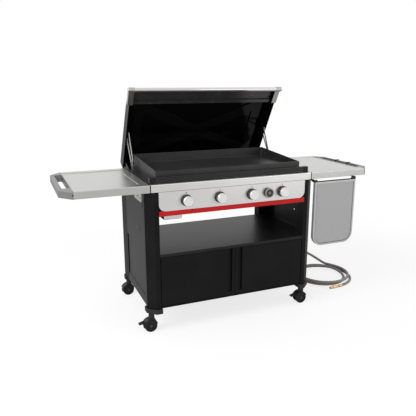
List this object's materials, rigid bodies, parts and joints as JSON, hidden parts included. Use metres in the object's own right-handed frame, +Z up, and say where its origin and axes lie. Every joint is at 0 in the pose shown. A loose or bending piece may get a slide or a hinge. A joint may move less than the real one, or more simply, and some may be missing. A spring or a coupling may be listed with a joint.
{
  "type": "outdoor gas griddle station",
  "caption": "Wheeled outdoor gas griddle with a flat plate under an arm-hung lid, side tables, a drop leaf, an open shelf over a cabinet with doors, and a coiled gas hose.",
  "frame": {"origin": "on the floor, in the middle of the station's footprint without the hose, lid open", "axes": "+X to the station's right as the user at the front sees it, +Y from the front to the back, +Z up"},
  "size_m": [2.1119, 0.844, 1.4043],
  "materials": {
    "stainless": "brushed",
    "cap_grey": "satin",
    "black_frame": "satin",
    "grey_panel": "satin",
    "red": "gloss",
    "enamel": "matt",
    "griddle_steel": "matt",
    "panel_silver": "brushed",
    "knob_grey": "satin",
    "chrome": "polished",
    "burner_steel": "plain",
    "brass": "satin",
    "foil": "satin",
    "lid_black": "gloss",
    "black_plastic": "matt",
    "leaf_grey": "satin",
    "wheel_black": "matt",
    "hose_grey": "matt"
  },
  "bodies": {
    "station": {"table_left": "stainless", "table_right": "stainless", "end_caps": "cap_grey", "hook_clips": "black_plastic", "table_brackets": "stainless", "front_rail": "stainless", "front_columns": "black_frame", "rear_columns": "black_frame", "foot_caps": "black_plastic", "side_panels": "grey_panel", "mid_shelf": "black_frame", "cabinet_floor": "black_frame", "cabinet_back": "black_frame", "cookbox_shell": "enamel", "cookbox_front_panel": "enamel", "side_rails": "enamel", "griddle_plate": "griddle_steel", "burners": "burner_steel", "gas_line": "burner_steel", "gas_valves": "brass", "control_panel": "panel_silver", "knob_bezels": "panel_silver", "display": "chrome", "red_rail": "red", "arm_brackets": "black_frame", "leaf_brackets": "black_plastic", "hose_stretch": "hose_grey", "hose_coil": "hose_grey", "hose_fitting": "brass"},
    "door_left": {"door_left": "black_frame"},
    "door_right": {"door_right": "black_frame"},
    "grease_drawer": {"tray_front": "red", "tray_holder": "black_frame", "catch_pan": "foil"},
    "front_arms": {"front_arms": "stainless"},
    "rear_arms": {"rear_arms": "stainless"},
    "lid": {"lid_shell": "lid_black", "lid_liner": "lid_black", "lid_front_channel": "lid_black", "lid_handle": "stainless", "lid_handle_brackets": "stainless", "lid_tabs": "black_frame"},
    "leaf": {"leaf_frame": "stainless", "leaf_board": "leaf_grey", "leaf_hinge_bar": "black_plastic"},
    "knob_1": {"knob_1": "knob_grey"},
    "knob_2": {"knob_2": "knob_grey"},
    "knob_3": {"knob_3": "knob_grey"},
    "knob_4": {"knob_4": "knob_grey"},
    "swivel_front_left": {"caster_front_left_hood": "black_plastic"},
    "wheels_front_left": {"caster_front_left_wheels": "wheel_black"},
    "swivel_front_right": {"caster_front_right_hood": "black_plastic"},
    "wheels_front_right": {"caster_front_right_wheels": "wheel_black"},
    "swivel_rear_left": {"caster_rear_left_hood": "black_plastic"},
    "wheels_rear_left": {"caster_rear_left_wheels": "wheel_black"},
    "swivel_rear_right": {"caster_rear_right_hood": "black_plastic"},
    "wheels_rear_right": {"caster_rear_right_wheels": "wheel_black"},
    "brake_front_left": {"caster_front_left_brake": "black_plastic"},
    "brake_front_right": {"caster_front_right_brake": "black_plastic"}
  },
  "joints": [
    {"name": "door_right_hinge", "type": "hinge", "parent": "station", "child": "door_right", "pos_m": [0.45014, -0.3735, 0.316], "axis": [0, 0, 1], "range_deg": [0, 95]},
    {"name": "door_left_hinge", "type": "hinge", "parent": "station", "child": "door_left", "pos_m": [-0.46986, -0.3735, 0.316], "axis": [0, 0, -1], "range_deg": [0, 95]},
    {"name": "knob_1_turn", "type": "hinge", "parent": "station", "child": "knob_1", "pos_m": [-0.31886, -0.402, 0.79], "axis": [0, -1, 0], "range_deg": [0, 200]},
    {"name": "knob_2_turn", "type": "hinge", "parent": "station", "child": "knob_2", "pos_m": [-0.11286, -0.402, 0.79], "axis": [0, -1, 0], "range_deg": [0, 200]},
    {"name": "knob_3_turn", "type": "hinge", "parent": "station", "child": "knob_3", "pos_m": [0.09314, -0.402, 0.79], "axis": [0, -1, 0], "range_deg": [0, 200]},
    {"name": "knob_4_turn", "type": "hinge", "parent": "station", "child": "knob_4", "pos_m": [0.29914, -0.402, 0.79], "axis": [0, -1, 0], "range_deg": [0, 200]},
    {"name": "drawer_slide", "type": "slide", "parent": "station", "child": "grease_drawer", "axis": [0, -1, 0], "range_m": [0, 0.25]},
    {"name": "front_arm_pivot", "type": "hinge", "parent": "station", "child": "front_arms", "pos_m": [-0.00986, 0.11439, 0.9491], "axis": [1, 0, 0], "range_deg": [0, 116.9]},
    {"name": "lid_pivot", "type": "hinge", "parent": "front_arms", "child": "lid", "pos_m": [-0.00986, 0.19781, 1.11757], "axis": [1, 0, 0], "range_deg": [-58.2, 0.5]},
    {"name": "rear_arm_pivot", "type": "hinge", "parent": "station", "child": "rear_arms", "pos_m": [-0.00986, 0.13299, 0.94359], "axis": [1, 0, 0], "range_deg": [0, 123.5]},
    {"name": "leaf_hinge", "type": "hinge", "parent": "station", "child": "leaf", "pos_m": [0.67064, -0.396, 0.839], "axis": [-1, 0, 0], "range_deg": [0, 90]},
    {"name": "swivel_front_left_turn", "type": "hinge", "parent": "station", "child": "swivel_front_left", "pos_m": [-0.52586, -0.32, 0.1], "axis": [0, 0, 1], "continuous": true},
    {"name": "wheels_front_left_roll", "type": "hinge", "parent": "swivel_front_left", "child": "wheels_front_left", "pos_m": [-0.53386, -0.32, 0.0375], "axis": [0, 1, 0], "continuous": true},
    {"name": "brake_front_left_tilt", "type": "hinge", "parent": "swivel_front_left", "child": "brake_front_left", "pos_m": [-0.58086, -0.32, 0.0565], "axis": [0, -1, 0], "range_deg": [0, 20]},
    {"name": "swivel_front_right_turn", "type": "hinge", "parent": "station", "child": "swivel_front_right", "pos_m": [0.50614, -0.32, 0.1], "axis": [0, 0, 1], "continuous": true},
    {"name": "wheels_front_right_roll", "type": "hinge", "parent": "swivel_front_right", "child": "wheels_front_right", "pos_m": [0.49814, -0.32, 0.0375], "axis": [0, 1, 0], "continuous": true},
    {"name": "brake_front_right_tilt", "type": "hinge", "parent": "swivel_front_right", "child": "brake_front_right", "pos_m": [0.45114, -0.32, 0.0565], "axis": [0, -1, 0], "range_deg": [0, 20]},
    {"name": "swivel_rear_left_turn", "type": "hinge", "parent": "station", "child": "swivel_rear_left", "pos_m": [-0.52586, 0.25, 0.1], "axis": [0, 0, 1], "continuous": true},
    {"name": "wheels_rear_left_roll", "type": "hinge", "parent": "swivel_rear_left", "child": "wheels_rear_left", "pos_m": [-0.53386, 0.25, 0.0375], "axis": [0, 1, 0], "continuous": true},
    {"name": "swivel_rear_right_turn", "type": "hinge", "parent": "station", "child": "swivel_rear_right", "pos_m": [0.50614, 0.25, 0.1], "axis": [0, 0, 1], "continuous": true},
    {"name": "wheels_rear_right_roll", "type": "hinge", "parent": "swivel_rear_right", "child": "wheels_rear_right", "pos_m": [0.49814, 0.25, 0.0375], "axis": [0, 1, 0], "continuous": true}
  ],
  "couplings": [
    {"joint": "lid_pivot", "follows": "front_arm_pivot", "ratio": -0.49297},
    {"joint": "rear_arm_pivot", "follows": "front_arm_pivot", "ratio": 1.054}
  ]
}
